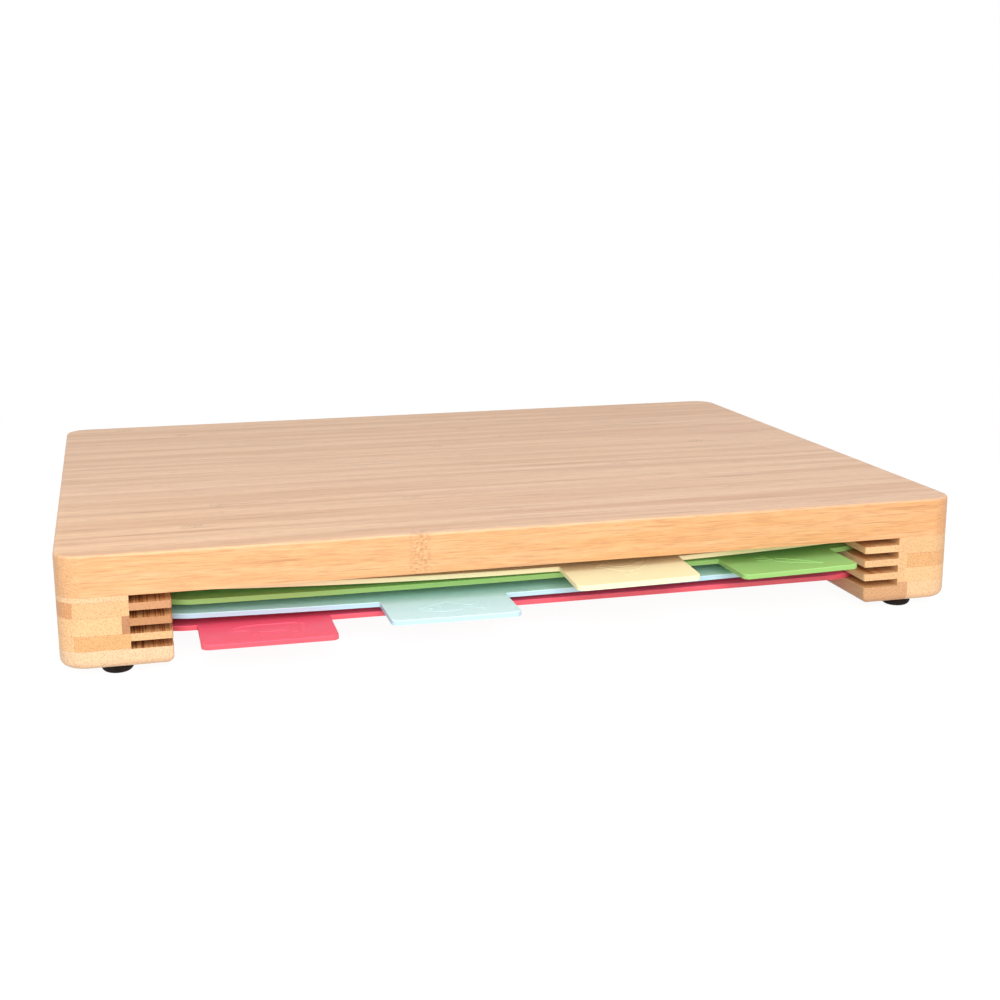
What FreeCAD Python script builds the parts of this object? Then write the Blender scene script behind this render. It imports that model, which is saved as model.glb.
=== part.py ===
"""Bamboo cutting board on two slotted side rails, with four thin coloured cutting mats.

A bamboo slab is carried by a bamboo rail under each end. Each rail has four slots
sawn along its inner side, and a stop rail closes the back between them. A flexible
cutting mat slides in each pair of slots and is drawn out to the front by its tab.
Four rubber feet are screwed under the ends of the rails.

Frame: +X to the right, +Y to the back, +Z up, in millimetres. The origin lies on the
surface that the feet stand on, at the centre of the footprint, the tabs included.
"""
import FreeCAD
import Part
import Sketcher
import os

Vector = FreeCAD.Vector
Rotation = FreeCAD.Rotation

# Driving sizes, in millimetres and degrees: (alias, value, what it is).
SIZES = (
    ("board_width", 380.0, "board, left to right"),
    ("board_depth", 285.0, "board, front to back"),
    ("board_thickness", 16.5, "board, underside to top"),
    ("corner_radius", 11.0, "vertical corners of the board and of the rails' outer ends"),
    ("top_edge_radius", 1.2, "rounding of the board's top edge"),
    ("rail_width", 43.0, "side rail, outer face to inner face"),
    ("rail_height", 28.8, "rails, underside to the board"),
    ("rail_bottom_radius", 3.5, "rounding of the rails' bottom edges"),
    ("rail_tip_radius", 1.0, "rounding of the vertical edges at the rails' inner ends"),
    ("slot_depth", 16.0, "slot, from the rail's inner face to its bottom"),
    ("slot_height", 3.1, "slot, floor to ceiling"),
    ("slot_pitch", 6.1, "from one slot to the next one below"),
    ("slot_count", 4.0, "slots in each side rail"),
    ("stop_thickness", 15.0, "stop rail, front to back"),
    ("foot_diameter", 12.5, "rubber foot at its seat"),
    ("foot_height", 3.9, "rubber foot, seat to sole"),
    ("foot_shoulder_radius", 2.4, "rounding between the foot's side and sole"),
    ("foot_recess_diameter", 5.8, "recess for the foot screw's head"),
    ("foot_recess_depth", 2.4, "the same recess, sole to floor"),
    ("foot_side_inset", 21.5, "foot's centre, in from the board's side"),
    ("foot_end_inset", 10.5, "foot's centre, in from the board's front or back"),
    ("foot_screw_diameter", 2.9, "foot screw's shank"),
    ("foot_screw_length", 13.0, "foot screw, under the head"),
    ("foot_screw_head_diameter", 5.2, "foot screw's pan head"),
    ("foot_screw_head_height", 1.6, "foot screw's pan head"),
    ("foot_screw_dome_radius", 0.7, "rounding of the pan head's rim"),
    ("rail_screw_diameter", 4.0, "rail screw's shank"),
    ("rail_screw_length", 36.0, "rail screw, over all"),
    ("rail_screw_head_diameter", 7.6, "rail screw's countersunk head"),
    ("rail_screw_rim", 0.4, "height of the countersunk head's straight rim"),
    ("rail_screw_sink", 2.0, "rail screw's head, below the rail's underside"),
    ("sink_clearance", 0.2, "air around the countersunk head, on the radius"),
    ("rail_screw_inset", 13.5, "rail screws' line, in from the board's side"),
    ("rail_screw_end_inset", 45.0, "end screws, in from the board's front and back"),
    ("rail_screw_count", 3.0, "screws in each side rail"),
    ("stop_screw_spacing", 180.0, "between the stop rail's two screws"),
    ("pilot_allowance", 1.0, "pilot holes, deeper than the screw's point"),
    ("cross_width", 1.1, "arm of the cross recess in the screw heads"),
    ("cross_length", 3.4, "cross recess, tip to tip"),
    ("cross_depth", 0.9, "cross recess, below the head's face"),
    ("mat_thickness", 2.0, "cutting mat"),
    ("mat_side_clearance", 3.0, "from the mat's edge to the slot's bottom, each side"),
    ("mat_lift", 0.3, "running clearance between the mat and the slot's floor"),
    ("mat_parked_setback", 20.0, "mat's front edge behind the board's, pushed home"),
    ("mat_corner_radius", 21.0, "mat's own four corners"),
    ("mat_rim_radius", 0.35, "rounding of the mat's upper edges"),
    ("mat_flat_margin", 2.0, "flat stretch between the slot's mouth and the sag"),
    ("tab_width", 53.0, "tab, side to side"),
    ("tab_length", 27.0, "tab, from the mat's front edge to its own"),
    ("tab_corner_radius", 3.0, "tab's two outer corners"),
    ("tab_root_radius", 0.8, "inner corners where the tab meets the mat"),
    ("tab_bend_offset", 2.0, "from the mat's front edge to the line where its tab bends down"),
    ("yellow_setback", 12.0, "yellow mat's front edge behind the board's, at rest"),
    ("yellow_skew", -0.2, "yellow mat's turn seen from above, degrees"),
    ("yellow_sag", 4.0, "yellow mat's droop at mid span"),
    ("yellow_tab_inset", 94.5, "from the yellow mat's right side to its tab"),
    ("yellow_tab_droop", 1.2, "yellow tab's tip below its root"),
    ("green_setback", 14.0, "green mat's front edge behind the board's, at rest"),
    ("green_skew", 1.0, "green mat's turn seen from above, degrees"),
    ("green_sag", 1.3, "green mat's droop at mid span"),
    ("green_tab_inset", 24.1, "from the green mat's right side to its tab"),
    ("green_tab_droop", 0.0, "green tab's tip below its root"),
    ("blue_setback", 13.5, "blue mat's front edge behind the board's, at rest"),
    ("blue_skew", 0.1, "blue mat's turn seen from above, degrees"),
    ("blue_sag", 1.9, "blue mat's droop at mid span"),
    ("blue_tab_inset", 96.0, "from the blue mat's left side to its tab"),
    ("blue_tab_droop", 0.0, "blue tab's tip below its root"),
    ("red_setback", 15.8, "red mat's front edge behind the board's, at rest"),
    ("red_skew", -0.3, "red mat's turn seen from above, degrees"),
    ("red_sag", 0.3, "red mat's droop at mid span"),
    ("red_tab_inset", 23.7, "from the red mat's left side to its tab"),
    ("red_tab_droop", 0.0, "red tab's tip below its root"),
)

# Sizes that follow from the driving ones: (alias, formula, what it is).
DERIVED = (
    (
        "front_reach",
        "tab_length - min(yellow_setback; green_setback; blue_setback; red_setback)",
        "how far the foremost tab stands out in front of the board",
    ),
    ("board_centre", "front_reach / 2", "board's plan centre, behind the origin"),
    ("front_face", "board_centre - board_depth / 2", "front face of board and rails"),
    ("back_face", "board_centre + board_depth / 2", "back face of board and rails"),
    ("board_underside", "foot_height + rail_height", "board's underside, above the floor"),
    ("span", "board_width - 2 * rail_width", "clear width between the side rails"),
    (
        "mat_width",
        "board_width - 2 * (rail_width - slot_depth + mat_side_clearance)",
        "mat, side to side",
    ),
    (
        "mat_depth",
        "board_depth - stop_thickness - mat_parked_setback",
        "mat, front edge to back edge, without its tab",
    ),
    (
        "rail_screw_pitch",
        "(board_depth - 2 * rail_screw_end_inset) / (rail_screw_count - 1)",
        "between neighbouring screws of a side rail",
    ),
    (
        "pilot_depth",
        "rail_screw_sink + rail_screw_length + pilot_allowance - rail_height",
        "pilot holes in the board, above its underside",
    ),
)

MAT_COLOURS = ("yellow", "green", "blue", "red")  # from the top slot down
TABS_AT_RIGHT = ("yellow", "green")  # the others stand at the mat's left
TINY = 0.01  # tolerance for telling edges apart, mm

doc = FreeCAD.newDocument("cutting_board")
sheet = doc.addObject("Spreadsheet::Sheet", "Sizes")


def fill_sheet():
    """Write the driving sizes as plain numbers and the derived ones as formulas."""
    row = 1
    for alias, value, note in SIZES:
        sheet.set(f"A{row}", alias)
        sheet.set(f"B{row}", str(value))
        sheet.set(f"C{row}", note)
        sheet.setAlias(f"B{row}", alias)
        row += 1
    doc.recompute()
    for alias, formula, note in DERIVED:
        sheet.set(f"A{row}", alias)
        sheet.set(f"B{row}", f"={formula}")
        sheet.set(f"C{row}", note)
        sheet.setAlias(f"B{row}", alias)
        row += 1
    doc.recompute()


def size(alias):
    """A size as a number, read from the sheet."""
    return float(sheet.get(alias))


def cell(formula):
    """A formula over the sheet's aliases, as an expression for another object."""
    words = []
    word = ""
    for letter in formula + " ":
        if letter.isalnum() or letter == "_":
            word += letter
            continue
        words.append(f"Sizes.{word}" if word[:1].isalpha() and word not in ("max", "min") else word)
        words.append(letter)
        word = ""
    return "".join(words).strip()


def new_body(label):
    """A PartDesign body whose label names the piece."""
    body = doc.addObject("PartDesign::Body", label)
    body.Label = label
    return body


def new_sketch(body, name, role="XY_Plane", height=None):
    """A sketch on one of the body's own origin planes, raised along its normal."""
    sketch = body.newObject("Sketcher::SketchObject", f"{body.Label}_{name}")
    plane = [item for item in body.Origin.OriginFeatures if item.Role == role][0]
    sketch.AttachmentSupport = [(plane, "")]
    sketch.MapMode = "FlatFace"
    if height is not None:
        sketch.setExpression(".AttachmentOffset.Base.z", cell(height))
    return sketch


def pin_point(sketch, geometry, point, across, along):
    """Hold one point of a sketch at the place that two formulas give."""
    for kind, formula in (("DistanceX", across), ("DistanceY", along)):
        value = float(sketch.evalExpression(cell(formula)))
        index = sketch.addConstraint(Sketcher.Constraint(kind, -1, 1, geometry, point, value))
        sketch.setExpression(f"Constraints[{index}]", cell(formula))


def draw_polygon(sketch, corners):
    """A closed polygon; each corner is a pair of formulas."""
    points = [
        Vector(*(float(sketch.evalExpression(cell(formula))) for formula in corner), 0)
        for corner in corners
    ]
    count = len(points)
    first = sketch.GeometryCount
    for i in range(count):
        sketch.addGeometry(Part.LineSegment(points[i], points[(i + 1) % count]), False)
    for i in range(count):
        joint = Sketcher.Constraint("Coincident", first + i, 2, first + (i + 1) % count, 1)
        sketch.addConstraint(joint)
    for i, (across, along) in enumerate(corners):
        pin_point(sketch, first + i, 1, across, along)


def draw_circle(sketch, across, along, diameter):
    """A circle whose centre and diameter are formulas."""
    centre = [float(sketch.evalExpression(cell(formula))) for formula in (across, along)]
    width = float(sketch.evalExpression(cell(diameter)))
    index = sketch.addGeometry(Part.Circle(Vector(*centre, 0), Vector(0, 0, 1), width / 2), False)
    pin_point(sketch, index, 3, across, along)
    limit = sketch.addConstraint(Sketcher.Constraint("Diameter", index, width))
    sketch.setExpression(f"Constraints[{limit}]", cell(diameter))


def draw_cross(sketch):
    """The cross recess of a screw head, centred on the sketch's origin."""
    arm = "cross_length / 2"
    half = "cross_width / 2"
    quarter = ((arm, half), (half, half), (half, arm))
    signs = (("", ""), ("-", ""), ("-", "-"), ("", "-"))
    corners = []
    for turn, (x_sign, y_sign) in enumerate(signs):
        points = quarter if turn % 2 == 0 else quarter[::-1]
        corners += [(x_sign + across, y_sign + along) for across, along in points]
    draw_polygon(sketch, corners)


def add_pad(body, sketch, length, reverse=False, name=None, fall=None):
    """Pad a sketch by a length given as a formula.

    With a fall, also a formula, a pad toward the front comes down by so much a length.
    """
    pad = body.newObject("PartDesign::Pad", f"{name or sketch.Label}_pad")
    pad.Profile = sketch
    pad.Reversed = reverse
    pad.setExpression("Length", cell(length))
    if fall is not None:
        pad.UseCustomVector = True
        pad.AlongSketchNormal = True
        pad.Direction = Vector(0, -1, 0)
        pad.setExpression(".Direction.z", cell(f"-({fall})"))
    sketch.Visibility = False
    doc.recompute()
    return pad


def add_pocket(body, sketch, depth, reverse=False):
    """Cut a sketch into the body; a cut that removes nothing is an error."""
    before = body.Shape.Volume
    pocket = body.newObject("PartDesign::Pocket", f"{sketch.Label}_pocket")
    pocket.Profile = sketch
    pocket.Reversed = reverse
    pocket.setExpression("Length", cell(depth))
    doc.recompute()
    if body.Shape.Volume > before - TINY:
        raise RuntimeError(f"{pocket.Label} cuts nothing")
    return pocket


def add_revolution(body, sketch):
    """Turn a half profile about the sketch's vertical axis."""
    turned = body.newObject("PartDesign::Revolution", f"{sketch.Label}_turned")
    turned.Profile = sketch
    turned.ReferenceAxis = (sketch, ["V_Axis"])
    turned.Angle = 360
    doc.recompute()
    return turned


def add_fillet(body, name, radius, wanted):
    """Round those edges of the body's tip that the test picks, given an edge and its box."""
    tip = body.Tip
    edges = [
        f"Edge{number}"
        for number, edge in enumerate(tip.Shape.Edges, 1)
        if wanted(edge, edge.BoundBox)
    ]
    if not edges:
        raise RuntimeError(f"{body.Label} has no edge for {name}")
    fillet = body.newObject("PartDesign::Fillet", f"{body.Label}_{name}")
    fillet.Base = (tip, edges)
    fillet.setExpression("Radius", cell(radius))
    doc.recompute()
    return fillet


def is_upright(box):
    """Whether an edge's box is that of a vertical line."""
    return box.XLength < TINY and box.YLength < TINY and box.ZLength > TINY


def is_upper_rim(edge, shape):
    """Whether an edge lies between an upright wall and a face that looks up."""
    slopes = []
    for face in shape.ancestorsOfType(edge, Part.Face):
        normal = face.normalAt(*face.Surface.parameter(edge.CenterOfMass))
        slopes.append(normal.z)
    return len(slopes) == 2 and abs(min(slopes)) < 0.5 < max(slopes)


def place(body, across, along, up, turn=None):
    """Put a body at formulas for x, y and z, turned about the vertical by a formula."""
    if turn is not None:
        body.Placement = FreeCAD.Placement(Vector(), Rotation(Vector(0, 0, 1), 1))
        body.setExpression(".Placement.Rotation.Angle", cell(turn))
    for axis, formula in (("x", across), ("y", along), ("z", up)):
        body.setExpression(f".Placement.Base.{axis}", cell(formula))


def rail_screw_places():
    """Local y of each screw in a side rail, as formulas, from the front."""
    return [
        f"rail_screw_end_inset + {number} * rail_screw_pitch"
        for number in range(int(size("rail_screw_count")))
    ]


def make_top_board():
    """The slab, centred on its own plan centre, with pilot holes for the screws below."""
    body = new_body("top_board")
    outline = new_sketch(body, "outline")
    side = "board_width / 2"
    end = "board_depth / 2"
    draw_polygon(
        outline,
        [(f"-{side}", f"-{end}"), (side, f"-{end}"), (side, end), (f"-{side}", end)],
    )
    add_pad(body, outline, "board_thickness")
    add_fillet(body, "corners", "corner_radius", lambda edge, box: is_upright(box))
    top = size("board_thickness")
    add_fillet(body, "top_edge", "top_edge_radius", lambda edge, box: box.ZMin > top - TINY)
    pilots = new_sketch(body, "pilots")
    for sign in ("-", ""):
        for along in rail_screw_places():
            across = f"{sign}({side} - rail_screw_inset)"
            draw_circle(pilots, across, f"{along} - {end}", "rail_screw_diameter")
        across = f"{sign}stop_screw_spacing / 2"
        draw_circle(pilots, across, f"{end} - stop_thickness / 2", "rail_screw_diameter")
    add_pocket(body, pilots, "pilot_depth", reverse=True)
    place(body, "0", "board_centre", "board_underside")
    return body


def cut_screw_seats(body, places):
    """Sunk and countersunk holes up through a rail, at pairs of formulas."""
    sinks = new_sketch(body, "sinks")
    for across, along in places:
        wide = "rail_screw_head_diameter + 2 * sink_clearance"
        draw_circle(sinks, across, along, wide)
    add_pocket(body, sinks, "rail_screw_sink + rail_screw_rim", reverse=True)
    bores = new_sketch(body, "bores", height="rail_screw_sink + rail_screw_rim")
    for across, along in places:
        draw_circle(bores, across, along, "rail_screw_diameter")
    doc.recompute()
    before = body.Shape.Volume
    hole = body.newObject("PartDesign::Hole", f"{body.Label}_countersunk_holes")
    hole.Profile = bores
    doc.recompute()
    hole.Reversed = True
    hole.DepthType = "ThroughAll"
    hole.setExpression("Diameter", cell("rail_screw_diameter"))
    hole.HoleCutType = "Countersink"
    hole.HoleCutCustomValues = True
    hole.HoleCutCountersinkAngle = 90
    hole.setExpression("HoleCutDiameter", cell("rail_screw_head_diameter"))
    doc.recompute()
    if body.Shape.Volume > before - TINY:
        raise RuntimeError(f"{hole.Label} cuts nothing")


def make_side_rail(label, at_right):
    """A slotted side rail; the right one is the left one turned end for end.

    Its own frame has x from the outer face inwards, y from one end and z from the
    underside.
    """
    body = new_body(label)
    section = new_sketch(body, "outline")
    draw_polygon(
        section,
        [("0", "0"), ("rail_width", "0"), ("rail_width", "board_depth"), ("0", "board_depth")],
    )
    add_pad(body, section, "rail_height")
    inner = size("rail_width") - TINY
    uprights = (
        ("corners", "corner_radius", lambda edge, box: is_upright(box) and box.XMax < TINY),
        ("tips", "rail_tip_radius", lambda edge, box: is_upright(box) and box.XMin > inner),
    )
    for name, radius, wanted in uprights:
        add_fillet(body, name, radius, wanted)
    add_fillet(body, "bottom_edge", "rail_bottom_radius", lambda edge, box: box.ZMax < TINY)
    slot = new_sketch(body, "slot", role="XZ_Plane")
    floor = "rail_height - slot_height"
    mouth = "rail_width + slot_depth"
    draw_polygon(
        slot,
        [
            ("rail_width - slot_depth", floor),
            (mouth, floor),
            (mouth, "rail_height"),
            ("rail_width - slot_depth", "rail_height"),
        ],
    )
    cut = add_pocket(body, slot, "board_depth", reverse=False)
    slots = body.newObject("PartDesign::LinearPattern", f"{label}_slots")
    slots.Originals = [cut]
    slots.Direction = (slot, ["V_Axis"])
    slots.Reversed = True
    slots.Mode = "Spacing"
    slots.setExpression("Offset", cell("slot_pitch"))
    slots.setExpression("Occurrences", cell("slot_count"))
    body.Tip = slots
    doc.recompute()
    pilots = new_sketch(body, "foot_pilots")
    for along in ("foot_end_inset", "board_depth - foot_end_inset"):
        draw_circle(pilots, "foot_side_inset", along, "foot_screw_diameter")
    add_pocket(body, pilots, "foot_screw_length + foot_recess_depth - foot_height", reverse=True)
    cut_screw_seats(body, [("rail_screw_inset", along) for along in rail_screw_places()])
    if at_right:
        place(body, "board_width / 2", "back_face", "foot_height", turn="180")
    else:
        place(body, "-board_width / 2", "front_face", "foot_height")
    return body


def make_stop_rail():
    """The bar between the side rails at the back, which the mats are pushed home to."""
    body = new_body("stop_rail")
    section = new_sketch(body, "outline")
    side = "span / 2"
    draw_polygon(
        section,
        [(f"-{side}", "-stop_thickness"), (side, "-stop_thickness"), (side, "0"), (f"-{side}", "0")],
    )
    add_pad(body, section, "rail_height")
    add_fillet(
        body,
        "bottom_edge",
        "rail_bottom_radius",
        lambda edge, box: box.ZMax < TINY and box.YMin > -TINY,
    )
    line = "-stop_thickness / 2"
    cut_screw_seats(body, [(f"{sign}stop_screw_spacing / 2", line) for sign in ("-", "")])
    place(body, "0", "back_face", "foot_height")
    return body


def make_rail_screw(label, across, along):
    """A countersunk wood screw, head down, driven up through a rail into the board."""
    body = new_body(label)
    profile = new_sketch(body, "profile", role="XZ_Plane")
    head = "rail_screw_head_diameter / 2"
    shank = "rail_screw_diameter / 2"
    draw_polygon(
        profile,
        [
            ("0", "0"),
            (head, "0"),
            (head, "rail_screw_rim"),
            (shank, f"rail_screw_rim + {head} - {shank}"),
            (shank, "rail_screw_length - rail_screw_diameter"),
            ("0", "rail_screw_length"),
        ],
    )
    add_revolution(body, profile)
    recess = new_sketch(body, "recess")
    draw_cross(recess)
    add_pocket(body, recess, "cross_depth", reverse=True)
    place(body, across, along, "foot_height + rail_screw_sink")
    return body


def make_foot(label, across, along):
    """A round rubber foot under its seat, with a recess for the screw's head."""
    body = new_body(label)
    profile = new_sketch(body, "profile", role="XZ_Plane")
    outside = "foot_diameter / 2"
    recess = "foot_recess_diameter / 2"
    bore = "foot_screw_diameter / 2"
    floor = "foot_recess_depth - foot_height"
    draw_polygon(
        profile,
        [
            (bore, "0"),
            (outside, "0"),
            (outside, "-foot_height"),
            (recess, "-foot_height"),
            (recess, floor),
            (bore, floor),
        ],
    )
    add_revolution(body, profile)
    sole = -size("foot_height")
    rim = size("foot_recess_diameter")
    add_fillet(
        body,
        "shoulder",
        "foot_shoulder_radius",
        lambda edge, box: box.ZMax < sole + TINY and box.XLength > rim + TINY,
    )
    place(body, across, along, "foot_height")
    return body


def make_foot_screw(label, across, along):
    """A pan head screw, head down, that holds a foot to its rail."""
    body = new_body(label)
    profile = new_sketch(body, "profile", role="XZ_Plane")
    head = "foot_screw_head_diameter / 2"
    shank = "foot_screw_diameter / 2"
    draw_polygon(
        profile,
        [
            ("0", "-foot_screw_head_height"),
            (head, "-foot_screw_head_height"),
            (head, "0"),
            (shank, "0"),
            (shank, "foot_screw_length - foot_screw_diameter"),
            ("0", "foot_screw_length"),
        ],
    )
    add_revolution(body, profile)
    face = -size("foot_screw_head_height")
    add_fillet(body, "dome", "foot_screw_dome_radius", lambda edge, box: box.ZMax < face + TINY)
    recess = new_sketch(body, "recess", height="-foot_screw_head_height")
    draw_cross(recess)
    add_pocket(body, recess, "cross_depth", reverse=True)
    place(body, across, along, "foot_recess_depth")
    return body


def draw_sagging_section(sketch, sag):
    """A mat's cross section: flat in the slots, a shallow arc of the same sag between.

    Both arcs have the radius (a^2 + sag^2) / (2 sag) over the half chord a.
    """
    chord = "(span / 2 - mat_flat_margin)"
    half = float(sketch.evalExpression(cell(chord)))
    edge = size("mat_width") / 2
    depth = size(sag)
    radius = (half * half + depth * depth) / (2 * depth)
    thick = size("mat_thickness")
    lines = (
        ((-half, 0), (-edge, 0)),
        ((-edge, 0), (-edge, thick)),
        ((-edge, thick), (-half, thick)),
        ((half, thick), (edge, thick)),
        ((edge, thick), (edge, 0)),
        ((edge, 0), (half, 0)),
    )
    for start, end in lines:
        sketch.addGeometry(Part.LineSegment(Vector(*start, 0), Vector(*end, 0)), False)
    for level in (0, thick):
        left, low, right = ((-half, level), (0, level - depth), (half, level))
        sketch.addGeometry(Part.Arc(Vector(*left, 0), Vector(*low, 0), Vector(*right, 0)), False)
    under, over = 6, 7
    for joint in ((0, 2, 1, 1), (1, 2, 2, 1), (3, 2, 4, 1), (4, 2, 5, 1)):
        sketch.addConstraint(Sketcher.Constraint("Coincident", *joint))
    for joint in ((under, 1, 0, 1), (under, 2, 5, 2), (over, 1, 2, 2), (over, 2, 3, 1)):
        sketch.addConstraint(Sketcher.Constraint("Coincident", *joint))
    corners = (
        (0, 1, f"-{chord}", "0"),
        (0, 2, "-mat_width / 2", "0"),
        (1, 2, "-mat_width / 2", "mat_thickness"),
        (2, 2, f"-{chord}", "mat_thickness"),
        (3, 1, chord, "mat_thickness"),
        (3, 2, "mat_width / 2", "mat_thickness"),
        (4, 2, "mat_width / 2", "0"),
        (5, 2, chord, "0"),
    )
    for geometry, point, across, along in corners:
        pin_point(sketch, geometry, point, across, along)
    for arc in (under, over):
        index = sketch.addConstraint(Sketcher.Constraint("Radius", arc, radius))
        rule = f"({chord} * {chord} + {sag} * {sag}) / (2 * {sag})"
        sketch.setExpression(f"Constraints[{index}]", cell(rule))


def make_mat(colour, slot):
    """A flexible mat in the given pair of slots, counted from 0 at the top.

    Its own frame has the middle of the sheet as origin, at the height of the underside
    where it lies in the slots.
    """
    body = new_body(f"{colour}_mat")
    bend = "mat_depth / 2 + tab_bend_offset"
    section = new_sketch(body, "section", role="XZ_Plane", height=bend)
    draw_sagging_section(section, f"{colour}_sag")
    add_pad(body, section, "mat_depth + tab_bend_offset", reverse=True, name="sheet")
    tab = "tab_length - tab_bend_offset"
    add_pad(body, section, tab, name="tab", fall=f"{colour}_tab_droop / ({tab})")
    clearing = new_sketch(body, "beside_tab", height="-board_thickness")
    front = "-mat_depth / 2"
    outer = "-mat_depth / 2 - 2 * tab_length"
    left = f"{colour}_tab_inset - mat_width / 2"
    right = f"{left} + tab_width"
    if colour in TABS_AT_RIGHT:
        right = f"mat_width / 2 - {colour}_tab_inset"
        left = f"{right} - tab_width"
    side = "board_width / 2"
    draw_polygon(clearing, [(f"-{side}", outer), (left, outer), (left, front), (f"-{side}", front)])
    draw_polygon(clearing, [(right, outer), (side, outer), (side, front), (right, front)])
    add_pocket(body, clearing, "2 * board_thickness", reverse=True)
    round_mat(body, f"min(mat_corner_radius; {colour}_tab_inset - 2 * tab_root_radius)")
    z = f"board_underside - slot_height - {slot} * slot_pitch + mat_lift"
    y = f"front_face + {colour}_setback + mat_depth / 2"
    place(body, "0", y, z, turn=f"{colour}_skew")
    return body


def round_mat(body, corner_radius):
    """Round the mat's corners and the tab's, seen from above, then all its upper rims.

    The formula for the mat's own corners leaves a straight edge beside the tab's root.
    """
    front = -size("mat_depth") / 2
    tip = front - size("tab_length") + TINY
    side = size("mat_width") / 2 - TINY
    corners = (
        (
            "tab_root",
            "tab_root_radius",
            lambda box: abs(box.YMin - front) < TINY and abs(box.XMin) < side,
        ),
        ("tab_corners", "tab_corner_radius", lambda box: box.YMin < tip),
        ("mat_corners", corner_radius, lambda box: abs(box.XMin) > side),
    )
    for name, radius, is_there in corners:
        add_fillet(body, name, radius, lambda edge, box: is_upright(box) and is_there(box))
    add_fillet(
        body,
        "upper_rims",
        "mat_rim_radius",
        lambda edge, box: is_upper_rim(edge, body.Tip.Shape),
    )


def make_everything():
    """All the pieces of the board, in the order that they are put together."""
    pieces = [make_top_board()]
    pieces.append(make_side_rail("left_rail", at_right=False))
    pieces.append(make_side_rail("right_rail", at_right=True))
    pieces.append(make_stop_rail())
    for slot, colour in enumerate(MAT_COLOURS):
        pieces.append(make_mat(colour, slot))
    for side, sign in (("left", "-"), ("right", "")):
        for number, along in enumerate(rail_screw_places(), 1):
            x = f"{sign}(board_width / 2 - rail_screw_inset)"
            pieces.append(make_rail_screw(f"{side}_rail_screw_{number}", x, f"front_face + {along}"))
        x = f"{sign}stop_screw_spacing / 2"
        y = "back_face - stop_thickness / 2"
        pieces.append(make_rail_screw(f"stop_rail_{side}_screw", x, y))
        for end, y in (
            ("front", "front_face + foot_end_inset"),
            ("back", "back_face - foot_end_inset"),
        ):
            x = f"{sign}(board_width / 2 - foot_side_inset)"
            pieces.append(make_foot(f"{end}_{side}_foot", x, y))
            pieces.append(make_foot_screw(f"{end}_{side}_foot_screw", x, y))
    return pieces


def check_everything(pieces):
    """Stop on any object that failed, or any piece without one valid solid."""
    doc.recompute()
    for item in doc.Objects:
        if "Invalid" in item.State or "Error" in item.State:
            raise RuntimeError(f"{item.Label} failed: {item.State}")
    for piece in pieces:
        shape = piece.Shape
        if shape.isNull() or not shape.isValid() or len(shape.Solids) != 1:
            raise RuntimeError(f"{piece.Label} has no single valid solid")


fill_sheet()
parts = make_everything()
check_everything(parts)
os.makedirs("parts", exist_ok=True)
for part in parts:
    part.Shape.exportStep(f"parts/{part.Label}.step")
    box = part.Shape.BoundBox
    print(
        f"{part.Label:24s} {part.Shape.Volume:12.1f} mm3  "
        f"x {box.XMin:8.2f} {box.XMax:8.2f}  y {box.YMin:8.2f} {box.YMax:8.2f}  "
        f"z {box.ZMin:7.2f} {box.ZMax:7.2f}"
    )
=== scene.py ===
"""Finishes, raised tab marks, light and camera for a bamboo board with four cutting mats.

All lengths are metres, in the same frame as the CAD: +X right, +Y back, +Z up.
"""

import math

import bpy
import numpy as np
from mathutils import Matrix, Vector


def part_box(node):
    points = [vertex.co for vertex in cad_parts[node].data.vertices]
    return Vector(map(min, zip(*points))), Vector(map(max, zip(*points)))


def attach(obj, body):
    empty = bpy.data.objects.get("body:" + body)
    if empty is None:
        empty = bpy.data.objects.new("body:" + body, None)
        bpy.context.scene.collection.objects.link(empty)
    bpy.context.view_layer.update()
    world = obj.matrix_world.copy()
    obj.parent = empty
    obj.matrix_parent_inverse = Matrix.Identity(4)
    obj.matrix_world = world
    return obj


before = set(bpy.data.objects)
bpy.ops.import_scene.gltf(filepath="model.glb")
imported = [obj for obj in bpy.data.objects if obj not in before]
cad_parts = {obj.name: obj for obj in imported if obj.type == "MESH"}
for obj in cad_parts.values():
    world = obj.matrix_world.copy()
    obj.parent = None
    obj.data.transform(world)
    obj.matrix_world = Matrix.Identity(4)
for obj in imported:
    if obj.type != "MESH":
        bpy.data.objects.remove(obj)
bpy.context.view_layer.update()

MM = 0.001

# Places that the finishes line up with, read from the frame.
BOARD_LOW, BOARD_HIGH = (np.array(painted_light_share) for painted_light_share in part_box("top_board"))
LEFT_RAIL = [np.array(painted_light_share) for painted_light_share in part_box("left_rail")]
RIGHT_RAIL = [np.array(painted_light_share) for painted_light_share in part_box("right_rail")]
FRONT = BOARD_LOW[1]
UNDERSIDE = BOARD_LOW[2]

# The saw slots and the mats, as they are made.
SLOT_DEPTH = 16 * MM
SLOT_HEIGHT = 3.1 * MM
SLOT_PITCH = 6.1 * MM
SLOT_COUNT = 4
MAT_LIFT = 0.3 * MM  # clearance between a mat and its slot's floor
MAT_THICKNESS = 2 * MM
MAT_DEPTH = 250 * MM
SAG_MARGIN = 2 * MM  # flat stretch between the rail's inner face and the sag
TAB_LENGTH = 27 * MM
TAB_BEND = 2 * MM  # from the mat's front edge to the line where a tab bends down


def shade(red, green, blue):
    """An sRGB colour, 0 to 255 a channel, as the linear RGBA that a shader takes."""
    scaled = (channel / 255 for channel in (red, green, blue))
    linear = [c / 12.92 if c <= 0.04045 else ((c + 0.055) / 1.055) ** 2.4 for c in scaled]
    return (*linear, 1.0)


# ---------------------------------------------------------------- finishes


# The Mix node's sockets for two colours and for their mixture.
FIRST_COLOUR, SECOND_COLOUR, MIXED_COLOUR = 6, 7, 2


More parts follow.
